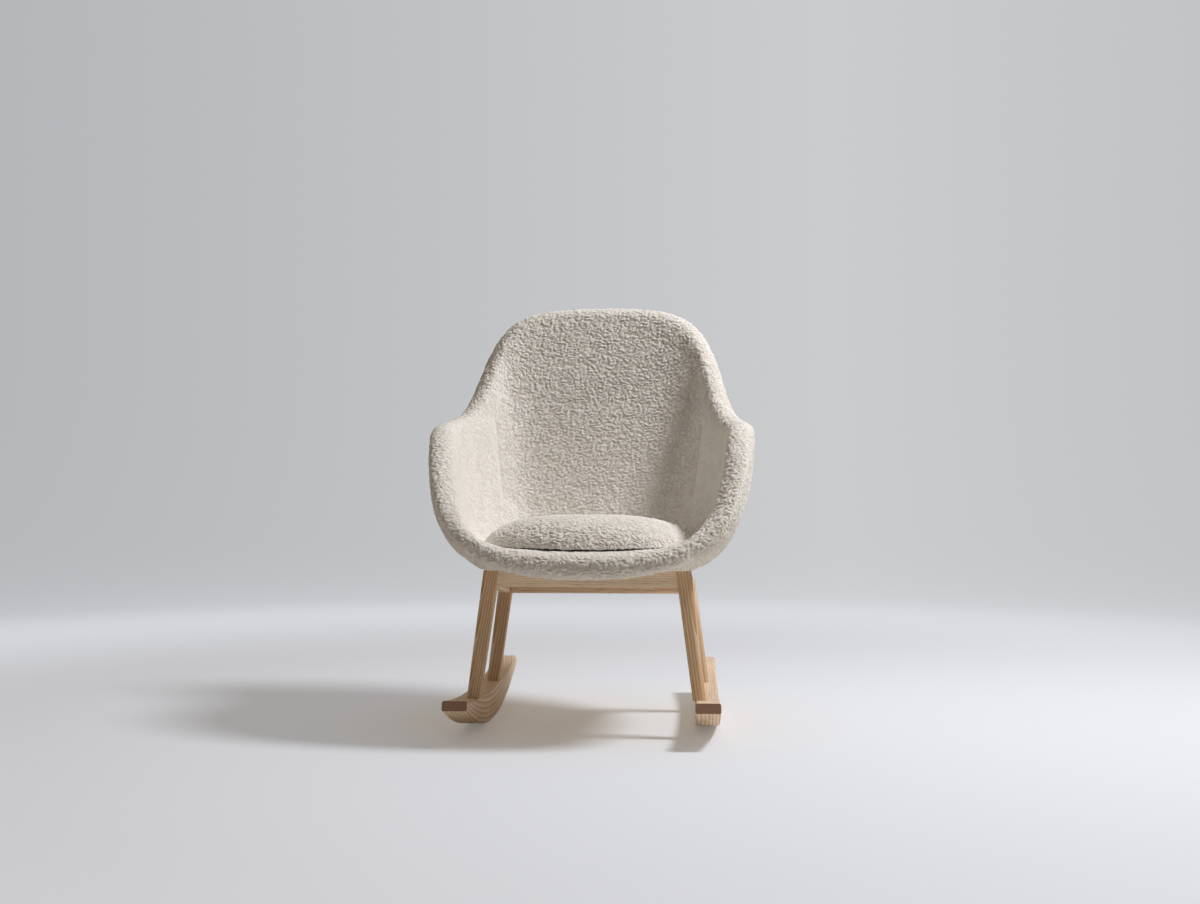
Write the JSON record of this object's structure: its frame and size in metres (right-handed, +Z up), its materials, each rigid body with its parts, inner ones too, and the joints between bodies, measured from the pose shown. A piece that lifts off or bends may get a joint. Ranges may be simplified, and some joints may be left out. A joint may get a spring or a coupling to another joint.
{
  "type": "upholstered rocking chair",
  "caption": "Bucket armchair on rockers: padded fabric shell with a rolled rim and a loose seat pad, bolted to a splayed wooden frame that rocks on crescent runners.",
  "frame": {"origin": "on the floor under the middle of the rockers, which is the middle of the bounding box's base", "axes": "+Z up, +X across the chair, -Y toward the sitter's front, so the back rises at +Y"},
  "size_m": [0.6536, 0.72, 0.8735],
  "materials": {
    "ash_wood": "clear matt lacquer",
    "beech_wood": "unfinished",
    "birch_plywood": "sanded",
    "zinc_steel": "zinc plated",
    "brass": "plain",
    "moulded_core": "moulded",
    "foam": "open cell foam",
    "boucle_fabric": "looped pile, cream"
  },
  "bodies": {
    "chair": {"rocker_left": "ash_wood", "rocker_right": "ash_wood", "front_leg_left": "ash_wood", "front_leg_right": "ash_wood", "rear_leg_left": "ash_wood", "rear_leg_right": "ash_wood", "front_rail": "ash_wood", "rear_rail": "ash_wood", "side_rail_left": "ash_wood", "side_rail_right": "ash_wood", "rail_dowels": "beech_wood", "corner_blocks": "beech_wood", "mounting_board": "birch_plywood", "board_screws": "zinc_steel", "shell_bolts": "zinc_steel", "bolt_washers": "zinc_steel", "shell_inserts": "brass", "shell_core": "moulded_core", "outer_foam": "foam", "inner_foam": "foam", "outer_cover": "boucle_fabric", "inner_cover": "boucle_fabric"},
    "seat_pad": {"pad_foam": "foam", "pad_top_cover": "boucle_fabric", "pad_bottom_cover": "boucle_fabric"}
  },
  "joints": [
    {"name": "seat_pad_lift", "type": "slide", "parent": "chair", "child": "seat_pad", "axis": [0, 0.1132, 0.9936], "range_m": [0, 0.6]}
  ]
}
